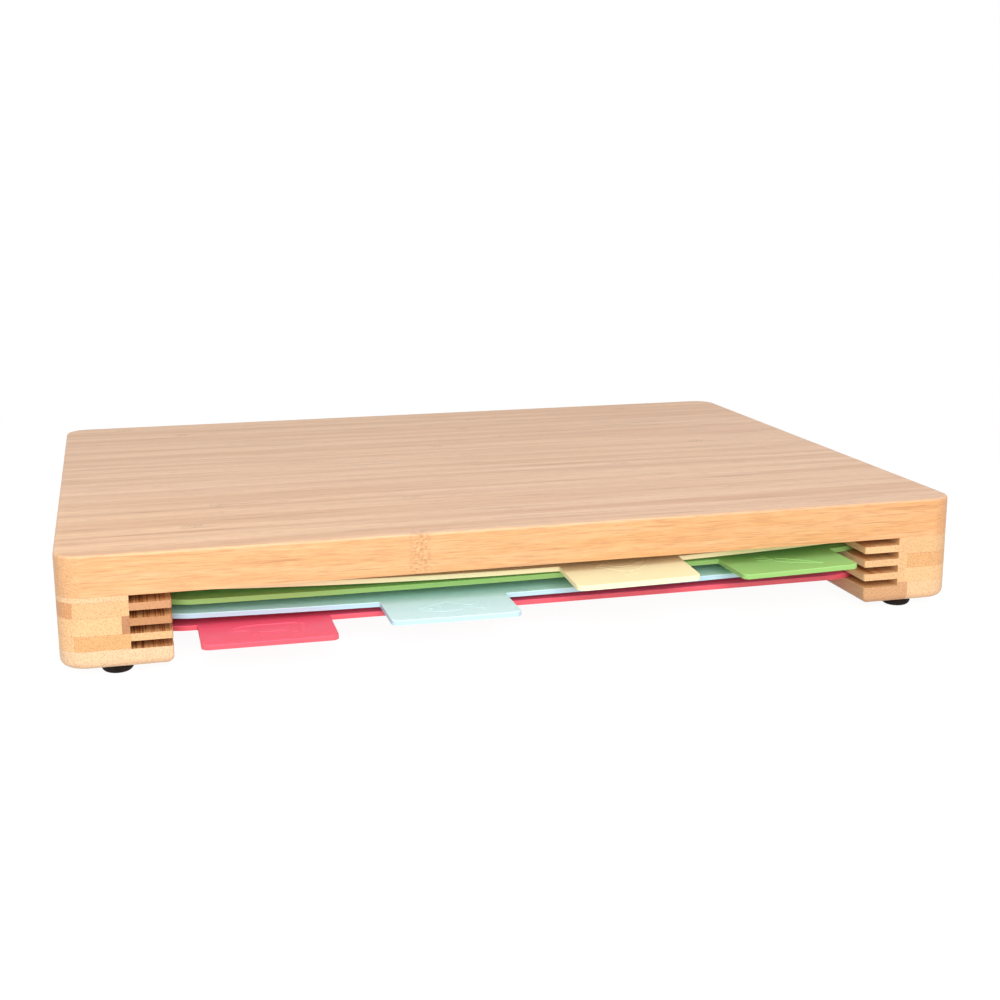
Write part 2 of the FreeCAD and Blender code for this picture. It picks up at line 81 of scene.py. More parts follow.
class Finish:
    """A material being made: its node tree, with a short call for each node used here."""

    def __init__(self, name, **settings):
        self.material = bpy.data.materials.new(name)
        self.material.use_nodes = True
        self.tree = self.material.node_tree
        self.tree.nodes.clear()
        output = self.tree.nodes.new("ShaderNodeOutputMaterial")
        self.shader = self.tree.nodes.new("ShaderNodeBsdfPrincipled")
        self.tree.links.new(self.shader.outputs["BSDF"], output.inputs["Surface"])
        for socket, value in settings.items():
            self.shader.inputs[socket.replace("_", " ")].default_value = value
        self.place = self.add("ShaderNodeTexCoord").outputs["Object"]

    def add(self, kind, **settings):
        """A new node with its own settings."""
        node = self.tree.nodes.new(kind)
        for name, value in settings.items():
            setattr(node, name, value)
        return node

    def feed(self, socket, value):
        """Link another node's output to a socket, or set the socket's own value."""
        if isinstance(value, bpy.types.NodeSocket):
            self.tree.links.new(value, socket)
        else:
            socket.default_value = value

    def set(self, socket, value):
        """Feed one of the shader's own sockets."""
        self.feed(self.shader.inputs[socket], value)

    def math(self, operation, *values):
        """A number worked out from one, two or three numbers."""
        node = self.add("ShaderNodeMath", operation=operation)
        for socket, value in zip(node.inputs, values):
            self.feed(socket, value)
        return node.outputs[0]

    def axes(self, vector):
        """The x, y and z of a vector."""
        node = self.add("ShaderNodeSeparateXYZ")
        self.feed(node.inputs[0], vector)
        return node.outputs[0], node.outputs[1], node.outputs[2]

    def vector(self, x, y, z):
        """A vector of three numbers."""
        node = self.add("ShaderNodeCombineXYZ")
        for socket, value in zip(node.inputs, (x, y, z)):
            self.feed(socket, value)
        return node.outputs[0]

    def over(self, parts, sizes):
        """A vector of three numbers, each divided by its own size."""
        return self.vector(*(self.math("DIVIDE", *pair) for pair in zip(parts, sizes)))

    def between(self, value, low, high, start=0.0, end=1.0, smooth=True):
        """From start, where the value is at low or before it, to end, where it is at high."""
        curve = "SMOOTHSTEP" if smooth else "LINEAR"
        node = self.add("ShaderNodeMapRange", interpolation_type=curve)
        for socket, number in zip(node.inputs, (value, low, high, start, end)):
            self.feed(socket, number)
        return node.outputs[0]

    def mix(self, factor, first, second):
        """Two colours mixed: all of the first at factor 0, all of the second at 1."""
        node = self.add("ShaderNodeMix", data_type="RGBA")
        self.feed(node.inputs["Factor"], factor)
        self.feed(node.inputs[FIRST_COLOUR], first)
        self.feed(node.inputs[SECOND_COLOUR], second)
        return node.outputs[MIXED_COLOUR]

    def ramp(self, value, *stops):
        """A colour read off a ramp of (place, colour) stops."""
        node = self.add("ShaderNodeValToRGB")
        elements = node.color_ramp.elements
        while len(elements) < len(stops):
            elements.new(0.5)
        for element, (position, colour) in zip(elements, stops):
            element.position = position
            element.color = colour
        self.feed(node.inputs[0], value)
        return node.outputs[0]

    def noise(self, vector, detail=2.0, roughness=0.5, blotch=1.0):
        """Soft noise, 0 to 1, over a vector, with the size of one blotch on it."""
        node = self.add("ShaderNodeTexNoise", noise_dimensions="3D")
        self.feed(node.inputs["Vector"], vector)
        self.feed(node.inputs["Scale"], 1 / blotch)
        self.feed(node.inputs["Detail"], detail)
        self.feed(node.inputs["Roughness"], roughness)
        return node.outputs["Fac"]

    def cells(self, vector):
        """Distance to the nearest of scattered points, about one point to a unit cell."""
        node = self.add("ShaderNodeTexVoronoi", feature="F1")
        self.feed(node.inputs["Vector"], vector)
        self.feed(node.inputs["Scale"], 1.0)
        return node.outputs["Distance"]

    def lot(self, value):
        """A number from 0 to 1 that is drawn anew for each whole value."""
        node = self.add("ShaderNodeTexWhiteNoise", noise_dimensions="1D")
        self.feed(node.inputs["W"], value)
        return node.outputs["Value"]

    def relief(self, height, depth, strength):
        """Bump the surface by a height from 0 to 1, depth metres deep."""
        node = self.add("ShaderNodeBump")
        self.feed(node.inputs["Height"], height)
        node.inputs["Distance"].default_value = depth
        node.inputs["Strength"].default_value = strength
        self.set("Normal", node.outputs[0])

    def normal(self):
        """The x, y and z of the surface normal, each -1 to 1."""
        return self.axes(self.add("ShaderNodeNewGeometry").outputs["True Normal"])

    def facing(self):
        """The size of the surface normal's x, y and z, each 0 to 1."""
        return [self.math("ABSOLUTE", part) for part in self.normal()]

    def downward(self):
        """1 on faces that look down, 0 on all others."""
        _, _, upward = self.normal()
        return self.between(upward, -0.2, -0.8)


# Bamboo, in a maker's terms: fibre bundles run lengthwise and end in fine dots.
BAND_LENGTH = 60 * MM
BAND_WIDTH = 3.2 * MM
STREAK_LENGTH = 9 * MM
STREAK_WIDTH = 0.42 * MM
FIBRE_LENGTH = 4 * MM
FIBRE_WIDTH = 0.3 * MM
BUNDLE_LENGTH = 40 * MM
BUNDLE_SPACING = 0.7 * MM
STRIP_WIDTH = 5.8 * MM
STRIP_OVERHANG = 0.2 * MM  # of the front strip, past the board's front
STRIP_WANDER = 0.8 * MM  # how far a glue line strays
WANDER_LENGTH = 160 * MM
KNUCKLE_PITCH = 430 * MM
KNUCKLE_REACH = 6 * MM  # from a knuckle's middle to where it has faded out
KNUCKLE_WAVE = 2.7 * MM  # how far a knuckle's crinkles bend the fibres
FRONT_KNUCKLE = -49.5 * MM  # x of the front strip's knuckle

# Sizes of one blotch of a pattern along x, y and z.
CRINKLE = (1.5 * MM, 0.9 * MM, 0.9 * MM)
BROAD_BAND = (240 * MM, 8 * MM)
VEIN = (48 * MM, 2.2 * MM, 0.9 * MM)
SAW_SCRATCH = (0.55 * MM, 30 * MM, 2 * MM)

# Added to a strip's number, so that each thing drawn for it is drawn anew.
DRAW_KNUCKLE_PLACE = 7.0
DRAW_KNUCKLE_STRENGTH = 31.0

PAINTED_LIGHT_END = 40 * MM  # y at which the painted light on the top's front left corner has faded out
GLUE_LINE = 0.12 * MM  # half the width of a glue line in a rail
SLOT_SKIN = 0.06 * MM  # how far a slot's colour, saw marks with painted shading, reaches past its walls
STOP_LAYER = 7.2 * MM  # height of the stop rail's layers

PALE = shade(223, 183, 141)
STRAW = shade(216, 173, 124)
HONEY = shade(211, 160, 106)
AMBER = shade(203, 134, 76)
TAN = shade(192, 134, 90)
WHEAT = shade(225, 180, 130)
CREAM = shade(222, 188, 150)
TAWNY = shade(200, 144, 96)
UMBER = shade(179, 125, 81)
OAT = shade(194, 147, 105)
# Painted sheen: the rosier, paler tone laid on the board's top.
PAINTED_SHEEN_TONE = shade(244, 206, 180)
# Painted light: the lighter, warmer tone laid on the top near its front left corner.
PAINTED_LIGHT_TONE = shade(255, 205, 152)
CLAY = shade(190, 138, 98)
BARK = shade(169, 118, 80)
FLECK = shade(146, 92, 58)
# Darkest slot tone: saw burn, and painted shade at the bottoms of the left rail's slots.
SCORCH_AND_SHADE = shade(150, 90, 48)


def fibres(finish, along, across, deep, end_grain, wave):
    """Streaks, fine fibres and bundle dots in one solid pattern.

    The same noise is stretched many times along the grain, so that it shows as streaks
    on the long faces and as dots on the ends. wave is added to the places across the
    grain, where there is one. Returns band, streak, fibre and dot, 0 to 1.
    """
    if wave is not None:
        across = finish.math("ADD", across, wave)
        deep = finish.math("ADD", deep, wave)

    def stretched(length, width):
        return finish.over((along, across, deep), (length, width, width))

    band = finish.noise(stretched(BAND_LENGTH, BAND_WIDTH), detail=1.0)
    evenness = finish.math("MULTIPLY", end_grain, 0.85)
    band = finish.math("MULTIPLY_ADD", finish.math("SUBTRACT", 0.45, band), evenness, band)
    streak = finish.noise(stretched(STREAK_LENGTH, STREAK_WIDTH), detail=3.0, roughness=0.6)
    fibre = finish.noise(stretched(FIBRE_LENGTH, FIBRE_WIDTH), detail=1.5)
    bundle = finish.cells(stretched(BUNDLE_LENGTH, BUNDLE_SPACING))
    dot = finish.between(bundle, 0.2, 0.48, 1.0, 0.0)
    dot = finish.math("MULTIPLY", dot, finish.between(end_grain, 0.3, 0.9, 0.14, 1.0))
    return band, streak, fibre, dot


def tint(finish, tone, grain, warmth=1.0):
    """A strip's tone with its bands and streaks darkened, lightened and flecked."""
    band, streak, fibre, dot = grain
    light = finish.mix(finish.between(band, 0.4, 0.7, 0.0, 0.25), tone, PALE)
    warm = finish.math("MULTIPLY", finish.between(streak, 0.52, 0.34, 0.0, 0.42), warmth)
    colour = finish.mix(warm, light, BARK)
    colour = finish.mix(finish.between(streak, 0.52, 0.7, 0.0, 0.4), colour, PALE)
    colour = finish.mix(finish.between(fibre, 0.5, 0.8, 0.0, 0.22), colour, TAN)
    return finish.mix(finish.math("MULTIPLY", dot, 0.42), colour, FLECK)


def knuckles(finish, x, number, is_front):
    """1 on a strip's knuckles, one every KNUCKLE_PITCH, and 0 between them."""
    start = finish.lot(finish.math("ADD", number, DRAW_KNUCKLE_PLACE))
    start = finish.math("MULTIPLY", start, KNUCKLE_PITCH)
    start = finish.math("MULTIPLY", start, finish.math("SUBTRACT", 1.0, is_front))
    from_knuckle = finish.math("SUBTRACT", finish.math("SUBTRACT", x, FRONT_KNUCKLE), start)
    turns = finish.math("DIVIDE", from_knuckle, KNUCKLE_PITCH)
    nearest = finish.math("SUBTRACT", turns, finish.math("ROUND", turns))
    distance = finish.math("ABSOLUTE", finish.math("MULTIPLY", nearest, KNUCKLE_PITCH))
    return finish.between(distance, KNUCKLE_REACH, 0.3 * KNUCKLE_REACH)


def board_tone(finish, number, is_front, end_grain, up):
    """Each strip's own tone, shifted a little from left to right, with painted sheen on the top,
    strongest at the front, and painted light near the top's front left corner.
    """
    x, y, _ = finish.axes(finish.place)
    tone = finish.ramp(
        finish.lot(number),
        (0.0, TAN), (0.22, HONEY), (0.45, STRAW), (0.65, HONEY), (0.85, PALE), (1.0, STRAW),
    )
    tone = finish.mix(0.42, tone, STRAW)
    rightward = finish.between(x, BOARD_LOW[0], BOARD_HIGH[0], 0.3, 1.0)
    tone = finish.mix(is_front, tone, finish.mix(rightward, STRAW, HONEY))
    tone = finish.mix(finish.between(up, 0.6, 0.1, 0.0, 0.3), tone, AMBER)
    # Painted sheen: the top turns rosier and paler, more so towards the front.
    painted_sheen_share = finish.between(y, 0.0, BOARD_HIGH[1], 0.55, 0.38)
    tone = finish.mix(finish.math("MULTIPLY", up, painted_sheen_share), tone, PAINTED_SHEEN_TONE)
    # Painted light: a pool of lighter, warmer tone on the top near its front left corner.
    near_left = finish.between(x, 0.2 * BOARD_HIGH[0], BOARD_LOW[0], 0.0, 0.5)
    near_front = finish.between(y, PAINTED_LIGHT_END, FRONT)
    painted_light_share = finish.math("MULTIPLY", near_left, near_front)
    tone = finish.mix(finish.math("MULTIPLY", up, painted_light_share), tone, PAINTED_LIGHT_TONE)
    end_tone = finish.mix(rightward, PALE, AMBER)
    return finish.mix(finish.math("MULTIPLY", end_grain, 0.3), tone, end_tone)


def board_bamboo():
    """The board: full-height strips on edge, side by side from front to back.

    A strip's number is the whole part of its distance from the front over the strip
    width. Each number draws the strip's tone and the places of its knuckles.
    """
    finish = Finish("board_bamboo", IOR=1.56)
    x, y, z = finish.axes(finish.place)
    end_grain, _, up = finish.facing()
    wander = finish.vector(finish.math("DIVIDE", x, WANDER_LENGTH), y, 0.0)
    wander = finish.noise(wander, detail=1.0)
    from_front = finish.math("SUBTRACT", y, FRONT - STRIP_OVERHANG)
    shifted = finish.math("MULTIPLY_ADD", wander, STRIP_WANDER, from_front)
    strips = finish.math("DIVIDE", shifted, STRIP_WIDTH)
    number = finish.math("FLOOR", strips)
    within = finish.math("FRACT", strips)
    is_front = finish.math("LESS_THAN", number, 0.5)

    knuckle = knuckles(finish, x, number, is_front)
    crinkle = finish.noise(finish.over((x, y, z), CRINKLE))
    wave = finish.math("MULTIPLY", finish.math("SUBTRACT", crinkle, 0.5), KNUCKLE_WAVE)
    wave = finish.math("MULTIPLY", wave, knuckle)
    grain = fibres(finish, x, y, z, end_grain, wave)
    _, streak, fibre, _ = grain
    colour = tint(finish, board_tone(finish, number, is_front, end_grain, up), grain)

    # Broad soft bands on the top, long dark veins everywhere, then the glue lines.
    length, width = BROAD_BAND
    broad = finish.noise(
        finish.vector(finish.math("DIVIDE", x, length), finish.math("DIVIDE", y, width), 0.0)
    )
    share = finish.math("MULTIPLY", finish.between(broad, 0.38, 0.66, 0.0, 0.42), up)
    colour = finish.mix(share, colour, TAN)
    vein = finish.noise(finish.over((x, y, z), VEIN))
    colour = finish.mix(finish.between(vein, 0.6, 0.74, 0.0, 0.36), colour, FLECK)
    from_middle = finish.math("ABSOLUTE", finish.math("SUBTRACT", within, 0.5))
    colour = finish.mix(finish.between(from_middle, 0.46, 0.495, 0.0, 0.28), colour, FLECK)

    # Knuckles: pale and brown dots side by side, strong on some strips and faint on others.
    strength = finish.lot(finish.math("ADD", number, DRAW_KNUCKLE_STRENGTH))
    strength = finish.between(strength, 0.2, 0.9, 0.15, 1.0)
    strength = finish.math("MULTIPLY", finish.math("MAXIMUM", strength, is_front), knuckle)
    brown = finish.math("MULTIPLY", strength, finish.between(crinkle, 0.5, 0.62, 0.1, 0.55))
    colour = finish.mix(brown, colour, BARK)
    pale = finish.math("MULTIPLY", strength, finish.between(crinkle, 0.46, 0.36, 0.0, 0.45))
    colour = finish.mix(pale, colour, PALE)
    colour = finish.mix(finish.math("MULTIPLY", finish.downward(), 0.6), colour, AMBER)
    finish.set("Base Color", colour)
    finish.set("Roughness", finish.between(streak, 0.2, 0.8, 0.36, 0.5))
    height = finish.math("MULTIPLY_ADD", crinkle, knuckle, fibre)
    finish.relief(height, 0.05 * MM, 0.6)
    return finish.material


def glue_line(finish, place, line):
    """1 on a glue line that lies at a place, fading to 0 beside it."""
    gap = finish.math("ABSOLUTE", finish.math("SUBTRACT", place, line))
    return finish.between(gap, GLUE_LINE, 2.5 * GLUE_LINE, 1.0, 0.0)


def in_slots(finish, below_top, from_mouth, end_grain):
    """1 on the walls and floors of a rail's slots, 0 elsewhere."""
    step = finish.math("FRACT", finish.math("DIVIDE", below_top, SLOT_PITCH))
    inside = finish.math(
        "MAXIMUM",
        finish.math("LESS_THAN", step, (SLOT_HEIGHT + SLOT_SKIN) / SLOT_PITCH),
        finish.math("GREATER_THAN", step, 1.0 - SLOT_SKIN / SLOT_PITCH),
    )
    lowest = (SLOT_COUNT - 1) * SLOT_PITCH + SLOT_HEIGHT + SLOT_SKIN
    for limit in (
        finish.math("LESS_THAN", below_top, lowest),
        finish.math("LESS_THAN", from_mouth, SLOT_DEPTH + SLOT_SKIN),
        finish.between(end_grain, 0.5, 0.7, 1.0, 0.0),
    ):
        inside = finish.math("MULTIPLY", inside, limit)
    return inside


def rail_bamboo(name, rail, outer_side, layers, burnt):
    """A side rail: layers glued flat, with the grain front to back and sawn slots.

    layers lists, from the top down, a layer's height and its blocks: pairs of a width
    from the outer face and the tone up to there. The last argument is painted shading at
    a slot's bottom, along its tones from the mouth: painted shade above 0, painted light below.
    """
    finish = Finish(name, IOR=1.46)
    low, high = rail
    x, y, z = finish.axes(finish.place)
    _, end_grain, _ = finish.facing()
    if outer_side < 0:
        from_outer = finish.math("SUBTRACT", x, low[0])
    else:
        from_outer = finish.math("SUBTRACT", high[0], x)
    below_top = finish.math("SUBTRACT", high[2], z)
    grain = fibres(finish, y, x, z, end_grain, None)
    _, streak, fibre, _ = grain

    # Tone of each block, and the glue lines between blocks and between layers.
    seam = 0.0
    depth = 0.0
    for number, (height, blocks) in enumerate(layers):
        layer = blocks[-1][1]
        for width, tone in reversed(blocks[:-1]):
            layer = finish.mix(finish.math("LESS_THAN", from_outer, width), layer, tone)
            here = finish.math("COMPARE", below_top, depth + height / 2, height / 2)
            joint = finish.math("MULTIPLY", glue_line(finish, from_outer, width), here)
            seam = finish.math("MAXIMUM", seam, joint)
        if number:
            colour = finish.mix(finish.math("GREATER_THAN", below_top, depth), colour, layer)
            seam = finish.math("MAXIMUM", seam, glue_line(finish, below_top, depth))
        else:
            colour = layer
        depth += height
    colour = tint(finish, colour, grain, finish.between(end_grain, 0.3, 0.9, 1.3, 0.6))
    colour = finish.mix(finish.math("MULTIPLY", seam, 0.12), colour, FLECK)

    # The slots: striped by the saw, with painted shading towards the bottom: painted shade above
    # 0, painted light below.
    from_mouth = finish.math("SUBTRACT", high[0] - low[0], from_outer)
    in_slot = in_slots(finish, below_top, from_mouth, end_grain)
    scratches = finish.noise(finish.over((x, y, z), SAW_SCRATCH), roughness=0.6)
    depth_share = finish.between(from_mouth, 0.0, SLOT_DEPTH, smooth=False)
    stripes = finish.between(scratches, 0.3, 0.7)
    # Painted shading: with depth, the slot's tone moves along the ramp, on top of the saw
    # stripes.
    burn = finish.math("ADD", finish.math("MULTIPLY", depth_share, burnt), stripes)
    sawn_and_shaded = finish.ramp(burn, (0.2, STRAW), (0.45, HONEY), (0.75, AMBER), (1.0, SCORCH_AND_SHADE))
    finish.set("Base Color", finish.mix(in_slot, colour, sawn_and_shaded))
    finish.set("Roughness", finish.between(streak, 0.2, 0.8, 0.42, 0.56))
    rough = finish.math("MULTIPLY_ADD", in_slot, finish.math("MULTIPLY", scratches, 3.0), fibre)
    finish.relief(rough, 0.06 * MM, 0.6)
    return finish.material


def stop_bamboo():
    """The stop rail: bamboo glued flat, with its grain from left to right."""
    finish = Finish("stop_bamboo", IOR=1.46)
    x, y, z = finish.axes(finish.place)
    end_grain, _, _ = finish.facing()
    grain = fibres(finish, x, y, z, end_grain, None)
    _, streak, fibre, _ = grain
    layer = finish.lot(finish.math("FLOOR", finish.math("DIVIDE", z, STOP_LAYER)))
    tone = finish.ramp(layer, (0.0, PALE), (0.5, STRAW), (1.0, HONEY))
    finish.set("Base Color", tint(finish, tone, grain))
    finish.set("Roughness", finish.between(streak, 0.2, 0.8, 0.4, 0.52))
    finish.relief(fibre, 0.05 * MM, 0.6)
    return finish.material


SCUFF_RUNS = ((0.35, 34 * MM), (-0.8, 22 * MM), (1.5, 28 * MM))  # turn, length
SCUFF_WIDTH = 1.1 * MM
SCUFF_PATCH = 40 * MM
SCUFFS_START = FRONT + 30 * MM  # y at which the first marks show
SCUFFS_FULL = FRONT + 60 * MM
MOTTLE = 14 * MM
MOULDED_GRAIN = 0.35 * MM
WORN = shade(140, 136, 128)


def scuffs(finish):
    """Fine knife marks, crossed and in patches, behind the tab: 1 in a mark, 0 beside it."""
    x, y, _ = finish.axes(finish.place)
    marks = 0.0
    for turn, length in SCUFF_RUNS:
        ahead, aside = math.cos(turn), math.sin(turn)
        along = finish.math("MULTIPLY_ADD", x, ahead, finish.math("MULTIPLY", y, aside))
        across = finish.math("MULTIPLY_ADD", y, ahead, finish.math("MULTIPLY", x, -aside))
        along = finish.math("DIVIDE", along, length)
        across = finish.math("DIVIDE", across, SCUFF_WIDTH)
        run = finish.noise(finish.vector(along, across, turn), detail=1.0)
        marks = finish.math("MAXIMUM", marks, finish.between(run, 0.68, 0.74))
    patch = finish.noise(finish.place, detail=1.0, blotch=SCUFF_PATCH)
    marks = finish.math("MULTIPLY", marks, finish.between(patch, 0.4, 0.6, 0.15, 1.0))
    return finish.math("MULTIPLY", marks, finish.between(y, SCUFFS_START, SCUFFS_FULL))


def mat_plastic(name, colour, deep_colour, edge_shade_colour):
    """A flexible mat: satin plastic with a moulded grain, a mottle and scuffs, and a darker copy
    of its colour on the edges, which is painted shade.
    """
    finish = Finish(name, IOR=1.49)
    mottle = finish.noise(finish.place, blotch=MOTTLE)
    grain = finish.noise(finish.place, blotch=MOULDED_GRAIN)
    mark = scuffs(finish)
    colour = finish.mix(finish.between(mottle, 0.3, 0.7, 0.0, 0.2), colour, deep_colour)
    colour = finish.mix(finish.math("MULTIPLY", mark, 0.22), colour, WORN)
    _, _, up = finish.facing()
    # Painted shade: faces that don't look up take the darker edge colour, to offset the stronger
    # front light on them.
    finish.set("Base Color", finish.mix(finish.between(up, 0.75, 0.15), colour, edge_shade_colour))
    satin = finish.between(grain, 0.3, 0.7, 0.34, 0.46)
    finish.set("Roughness", finish.math("MULTIPLY_ADD", mark, 0.15, satin))
    finish.relief(finish.math("MULTIPLY_ADD", mark, -4.0, grain), 0.02 * MM, 0.5)
    return finish.material


def foot_rubber():
    """Moulded rubber: dark warm grey, dull, with a fine grain and a dusty bloom."""
    finish = Finish("foot_rubber", IOR=1.16)
    bloom = finish.noise(finish.place, detail=3.0, blotch=3 * MM)
    grain = finish.noise(finish.place, blotch=0.25 * MM)
    share = finish.between(bloom, 0.35, 0.7, 0.0, 0.5)
    finish.set("Base Color", finish.mix(share, shade(30, 25, 22), shade(48, 40, 35)))
    finish.set("Roughness", finish.between(grain, 0.3, 0.7, 0.5, 0.72))
    finish.relief(grain, 0.04 * MM, 0.7)
    return finish.material


def screw_steel():
    """Zinc plated steel: bright, with a little dulling."""
    finish = Finish("screw_steel", Metallic=1.0)
    dull = finish.noise(finish.place, detail=3.0, blotch=1.2 * MM)
    share = finish.between(dull, 0.4, 0.7)
    finish.set("Base Color", finish.mix(share, shade(206, 206, 200), shade(168, 166, 158)))
    finish.set("Roughness", finish.between(dull, 0.3, 0.7, 0.24, 0.42))
    finish.relief(dull, 0.02 * MM, 0.4)
    return finish.material


# Layers of the rails' end grain, top down: height, then (width from outside, tone) blocks.
WHOLE = 1.0
LEFT_LAYERS = (
    (2.0 * MM, ((WHOLE, PALE),)),
    (6.1 * MM, ((5.8 * MM, TAWNY), (27.0 * MM, STRAW), (WHOLE, CLAY))),
    (7.1 * MM, ((24.0 * MM, WHEAT), (27.0 * MM, BARK), (WHOLE, UMBER))),
    (6.0 * MM, ((6.0 * MM, WHEAT), (27.0 * MM, HONEY), (WHOLE, STRAW))),
    (7.6 * MM, ((WHOLE, CREAM),)),
)
RIGHT_LAYERS = (
    (7.2 * MM, ((27.3 * MM, STRAW), (WHOLE, WHEAT))),
    (6.4 * MM, ((22.5 * MM, HONEY), (WHOLE, STRAW))),
    (6.4 * MM, ((24.0 * MM, WHEAT), (WHOLE, STRAW))),
    (8.8 * MM, ((22.1 * MM, PALE), (WHOLE, OAT))),
)

# Each mat's plastic, the deeper tone of its mottle, and the darker copy on its edges, which is
# painted shade.
MAT_COLOURS = {
    "yellow_mat": (shade(247, 238, 194), shade(247, 232, 175), shade(246, 233, 182)),
    "green_mat": (shade(157, 209, 124), shade(149, 201, 113), shade(140, 183, 102)),
    "blue_mat": (shade(214, 247, 255), shade(207, 243, 255), shade(179, 208, 223)),
    "red_mat": (shade(252, 101, 128), shade(250, 90, 117), shade(222, 86, 100)),
}


def dress(node, material):
    """Give a CAD node one material all over."""
    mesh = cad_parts[node].data
    mesh.materials.clear()
    mesh.materials.append(material)


def dress_everything():
    """Put each finish on its nodes."""
    dress("top_board", board_bamboo())
    # The last number is painted shading at the slot bottoms: painted shade in the left rail,
    # painted light in the right.
    dress("left_rail", rail_bamboo("left_rail_bamboo", LEFT_RAIL, -1, LEFT_LAYERS, 0.22))
    dress("right_rail", rail_bamboo("right_rail_bamboo", RIGHT_RAIL, 1, RIGHT_LAYERS, -0.3))
    dress("stop_rail", stop_bamboo())
    for node, colours in MAT_COLOURS.items():
        dress(node, mat_plastic(f"{node}_plastic", *colours))
    rubber = foot_rubber()
    steel = screw_steel()
    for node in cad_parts:
        if node.endswith("foot"):
            dress(node, rubber)
        elif "screw" in node:
            dress(node, steel)


# ---------------------------------------------------------------- raised marks on the tabs

RIDGE_WIDTH = 0.85 * MM
RIDGE_HEIGHTS = {"yellow": 0.1 * MM, "green": 0.18 * MM, "blue": 0.07 * MM, "red": 0.26 * MM}
RIDGE_SIDES = 10
RIDGE_STEPS = 7  # steps of the path between two of its points

# How each mat lies: slot from the top, setback, turn in degrees, sag, tab's left side from
# the board's left, droop of the tab's tip.
MAT_PLACES = {
    "yellow": (0, 12.0, -0.2, 4.0, 202.5, 1.2),
    "green": (1, 14.0, 1.0, 1.3, 272.9, 0.0),
    "blue": (2, 13.5, 0.1, 1.9, 126.0, 0.0),
    "red": (3, 15.8, -0.3, 0.3, 53.7, 0.0),
}

# Outlines of a hen, a carrot, a fish and a cow: (is it closed, points), each point in
# millimetres from the tab's left side and from its front edge.
MARKS = {
    "yellow": (
        (
            True,
            (
                (14.8, 22.6), (16.4, 24.2), (18.6, 24.4), (20.4, 22.6), (24.0, 20.6),
                (29.0, 20.8), (33.6, 23.6), (36.4, 24.4), (36.0, 21.4), (33.9, 18.6),
                (30.6, 15.2), (26.7, 14.0), (22.8, 15.3), (19.9, 18.2), (17.6, 21.0),
            ),
        ),
        (False, ((25.2, 14.0), (24.9, 11.8), (24.7, 9.9), (23.0, 9.3))),
        (False, ((28.8, 14.4), (28.7, 12.0), (28.5, 10.0), (26.9, 9.4))),
    ),
    "green": (
        (
            True,
            (
                (22.2, 18.2), (23.4, 19.9), (25.6, 19.6), (29.0, 17.0), (32.5, 14.2),
                (36.4, 10.8), (39.4, 7.4), (35.6, 8.8), (31.0, 10.8), (26.6, 12.8),
                (23.2, 14.8), (21.9, 16.4),
            ),
        ),
        (False, ((22.0, 17.8), (19.6, 18.8), (17.0, 18.4), (14.8, 19.6))),
        (False, ((22.2, 18.4), (20.0, 20.8), (17.2, 21.8), (15.2, 24.2))),
        (False, ((22.6, 18.8), (21.2, 21.6), (20.6, 23.4), (18.4, 25.4))),
        (False, ((28.6, 17.2), (27.8, 16.2), (26.8, 15.6))),
        (False, ((31.6, 12.0), (31.9, 12.9), (32.7, 13.4))),
    ),
    "blue": (
        (
            True,
            (
                (13.6, 13.6), (16.8, 16.0), (21.6, 18.8), (26.8, 21.0), (30.2, 18.0),
                (34.6, 15.0), (37.5, 16.8), (40.0, 19.2), (39.0, 14.0), (39.6, 8.8),
                (36.8, 10.8), (34.2, 12.4), (29.6, 9.8), (24.0, 8.4), (17.8, 9.8),
            ),
        ),
        (False, ((21.6, 16.8), (22.8, 14.0), (21.8, 11.0))),
        (True, ((17.2, 13.2), (18.0, 14.0), (18.8, 13.2), (18.0, 12.4))),
    ),
    "red": (
        (
            True,
            (
                (12.6, 16.4), (13.6, 15.0), (16.0, 15.3), (18.2, 14.6), (19.5, 12.6),
                (20.2, 9.4), (22.2, 9.4), (22.8, 12.2), (28.0, 11.8), (33.4, 12.2),
                (35.2, 12.2), (36.0, 9.4), (38.2, 9.4), (38.6, 13.0), (39.6, 17.0),
                (38.8, 20.4), (34.0, 21.2), (28.0, 20.9), (22.8, 21.4), (20.2, 20.7),
                (18.8, 20.3), (19.0, 22.2), (17.2, 20.4), (15.2, 19.4), (13.4, 18.0),
            ),
        ),
        (False, ((39.4, 19.8), (41.6, 18.4), (42.3, 14.6), (41.6, 12.4))),
    ),
}


def path_along(points, closed):
    """A smooth path through points (a Catmull-Rom curve), evenly stepped.

    Between points b and c with neighbours a and d, at t from 0 to 1, the place is
    (2b + (c - a)t + (2a - 5b + 4c - d)t^2 + (3b - a - 3c + d)t^3) / 2.
    """
    points = np.array(points, float)
    if closed:
        before, here = np.roll(points, 1, 0), points
        ahead, beyond = np.roll(points, -1, 0), np.roll(points, -2, 0)
    else:
        here, ahead = points[:-1], points[1:]
        before = np.vstack([points[:1], points[:-2]])
        beyond = np.vstack([points[2:], points[-1:]])
    t = (np.arange(RIDGE_STEPS) / RIDGE_STEPS)[None, :, None]
    a, b, c, d = (part[:, None, :] for part in (before, here, ahead, beyond))
    path = 2 * b + (c - a) * t + (2 * a - 5 * b + 4 * c - d) * t**2
    path = ((path + (3 * b - a - 3 * c + d) * t**3) / 2).reshape(-1, 2)
    return path if closed else np.vstack([path, points[-1:]])


